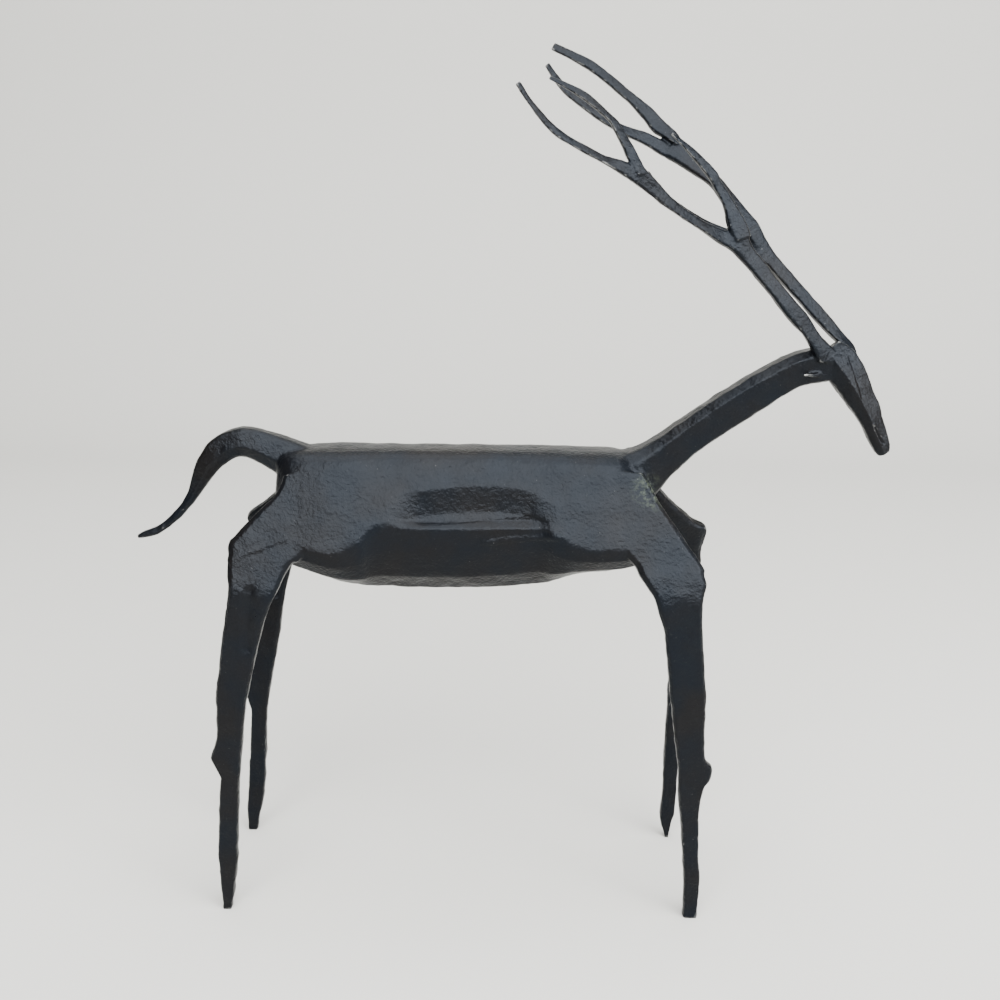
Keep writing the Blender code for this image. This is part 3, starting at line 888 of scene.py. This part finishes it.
class StageSettings(bpy.types.PropertyGroup):
    floor_colour: FloatVectorProperty(
        name="Floor", description="Colour of the floor and the wall behind", default=(0.47, 0.463, 0.435),
        subtype="COLOR", min=0.0, max=1.0,
    )
    camera_place: FloatVectorProperty(
        name="Camera", description="Where the camera stands", default=(-0.00281, -0.49409, 0.31459),
        subtype="TRANSLATION", unit="LENGTH", precision=4,
    )
    camera_down: FloatProperty(
        name="Looks down", description="Angle below level", default=radians(15.376), subtype="ANGLE",
    )
    camera_roll: FloatProperty(
        name="Roll", description="Turn of the picture", default=radians(0.8), subtype="ANGLE",
    )
    lens: FloatProperty(name="Lens", description="Focal length in millimetres", default=43.2)


# ----------------------------------------------------------------------------------------------
# Operators


class STAG_OT_skin(bpy.types.Operator):
    """Forge the stag's skin and put it in place of the plain solid"""

    bl_idname = "stag.skin"
    bl_label = "Stag"

    def execute(self, context):
        sizes = context.scene.stag
        mesh = forged_skin(sizes.voxel, sizes.triangles)
        refuse_open(mesh)
        mesh.name = "forged_stag"
        mesh.polygons.foreach_set("use_smooth", np.ones(len(mesh.polygons), bool))
        mesh.materials.clear()
        mesh.materials.append(forged_iron(sizes))
        # Marks the arrises for rubbed metal and a painted edge highlight.
        add_arris_wear_and_highlight(mesh)
        stag = linked("forged_stag", mesh)
        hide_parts(NODE)
        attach(stag, "root")
        return {"FINISHED"}


def refuse_open(mesh):
    """Raises an error unless the mesh has faces and each of its edges has exactly two."""
    edge = np.empty(len(mesh.loops), np.int32)
    mesh.loops.foreach_get("edge_index", edge)
    if len(edge) == 0 or (np.bincount(edge, minlength=len(mesh.edges)) != 2).any():
        raise RuntimeError("the stag's skin isn't one closed surface")


def add_arris_wear_and_highlight(mesh):
    """Stores on each point how far it stands out from its neighbours' mean along its normal, as
    a share of the edge length: the arrises, where wear shows and an edge highlight is painted."""
    points = points_of(mesh)
    edges = edges_of(mesh)
    counts = np.bincount(edges.ravel(), minlength=len(points)).clip(1)
    lengths = np.linalg.norm(points[edges[:, 0]] - points[edges[:, 1]], axis=1)
    mean_length = (
        np.bincount(edges[:, 0], lengths, len(points)) + np.bincount(edges[:, 1], lengths, len(points))
    ) / counts
    out = ((points - neighbour_mean(points, edges, counts)) * normals_of(mesh)).sum(1) / mean_length
    out = np.clip(out * 4.0, 0.0, 1.0)[:, None]
    for _ in range(2):
        out = 0.5 * out + 0.5 * neighbour_mean(out, edges, counts)
    layer = mesh.attributes.new("arris_wear_and_highlight", "FLOAT", "POINT")
    layer.data.foreach_set("value", out[:, 0].astype(np.float32))


class STAG_OT_stage(bpy.types.Operator):
    """Lay the pale floor, hang the lights and set the camera"""

    bl_idname = "stag.stage"
    bl_label = "Stage"

    def execute(self, context):
        sizes = context.scene.stag_stage
        floor = linked("floor", cove_mesh())
        floor.data.materials.append(pale_floor(sizes))
        for panel in PANELS:
            add_panel(*panel)
        set_world(context.scene)
        set_camera(context.scene, sizes)
        if context.scene.camera is None or context.scene.world is None:
            raise RuntimeError("the stage has no camera or no world")
        return {"FINISHED"}


def cove_mesh():
    """Floor and wall in one sheet: level, then a quarter circle, then upright, carried along X."""
    bend = np.linspace(0.0, pi / 2.0, 24)
    wall = COVE_START + COVE_RADIUS
    y = np.concatenate([[-FLOOR_HALF], COVE_START + COVE_RADIUS * np.sin(bend), [wall]])
    z = np.concatenate([[0.0], COVE_RADIUS * (1.0 - np.cos(bend)), [COVE_TOP]])
    x = np.linspace(-FLOOR_HALF, FLOOR_HALF, 9)
    points = np.stack([np.repeat(x, len(y)), np.tile(y, len(x)), np.tile(z, len(x))], -1)
    i, j = np.meshgrid(np.arange(len(x) - 1), np.arange(len(y) - 1), indexing="ij")
    corner = i * len(y) + j
    faces = np.stack([corner, corner + len(y), corner + len(y) + 1, corner + 1], -1).reshape(-1, 4)
    mesh = mesh_from("floor", points, faces)
    mesh.polygons.foreach_set("use_smooth", np.ones(len(mesh.polygons), bool))
    return mesh


def add_panel(name, place, size, energy):
    light = bpy.data.lights.new(name, "AREA")
    light.shape = "RECTANGLE"
    light.size, light.size_y = size
    light.energy = energy
    light.color = PANEL_COLOUR
    obj = bpy.data.objects.new(name, light)
    obj.location = place
    aim = Vector(PANEL_AIM) - Vector(place)
    obj.rotation_euler = aim.to_track_quat("-Z", "Y").to_euler()
    bpy.context.scene.collection.objects.link(obj)


def set_world(scene):
    world = bpy.data.worlds.new("studio")
    world.use_nodes = True
    background = world.node_tree.nodes["Background"]
    background.inputs["Color"].default_value = WORLD_COLOUR
    background.inputs["Strength"].default_value = WORLD_STRENGTH
    scene.world = world


def set_camera(scene, sizes):
    """A camera that looks along +Y, down by an angle and rolled by another."""
    camera = bpy.data.cameras.new("camera")
    camera.lens = sizes.lens
    camera.sensor_width = 36.0
    camera.clip_start = 0.01
    obj = bpy.data.objects.new("camera", camera)
    down, roll = sizes.camera_down, sizes.camera_roll
    forward = Vector((0.0, cos(down), -sin(down)))
    level_up = Vector((0.0, sin(down), cos(down)))
    level_right = Vector((1.0, 0.0, 0.0))
    right = level_right * cos(roll) + level_up * sin(roll)
    up = level_up * cos(roll) - level_right * sin(roll)
    turn = Matrix((right, up, -forward)).transposed().to_4x4()
    obj.matrix_world = Matrix.Translation(Vector(sizes.camera_place)) @ turn
    scene.collection.objects.link(obj)
    scene.camera = obj


class STAG_PT_panel(bpy.types.Panel):
    bl_idname = "STAG_PT_panel"
    bl_label = "Forged Iron Stag"
    bl_space_type = "VIEW_3D"
    bl_region_type = "UI"
    bl_category = "Stag"

    def draw(self, context):
        for operator in OPERATORS:
            self.layout.operator(operator.bl_idname)
        for group in (context.scene.stag, context.scene.stag_stage):
            for name in group.__annotations__:
                self.layout.prop(group, name)


OPERATORS = (STAG_OT_skin, STAG_OT_stage)
CLASSES = (StagSettings, StageSettings, *OPERATORS, STAG_PT_panel)


def register():
    for cls in CLASSES:
        bpy.utils.register_class(cls)
    bpy.types.Scene.stag = PointerProperty(type=StagSettings)
    bpy.types.Scene.stag_stage = PointerProperty(type=StageSettings)


def unregister():
    del bpy.types.Scene.stag_stage
    del bpy.types.Scene.stag
    for cls in reversed(CLASSES):
        bpy.utils.unregister_class(cls)


def main():
    register()
    bpy.ops.stag.skin()
    bpy.ops.stag.stage()


if __name__ == "__main__":
    main()
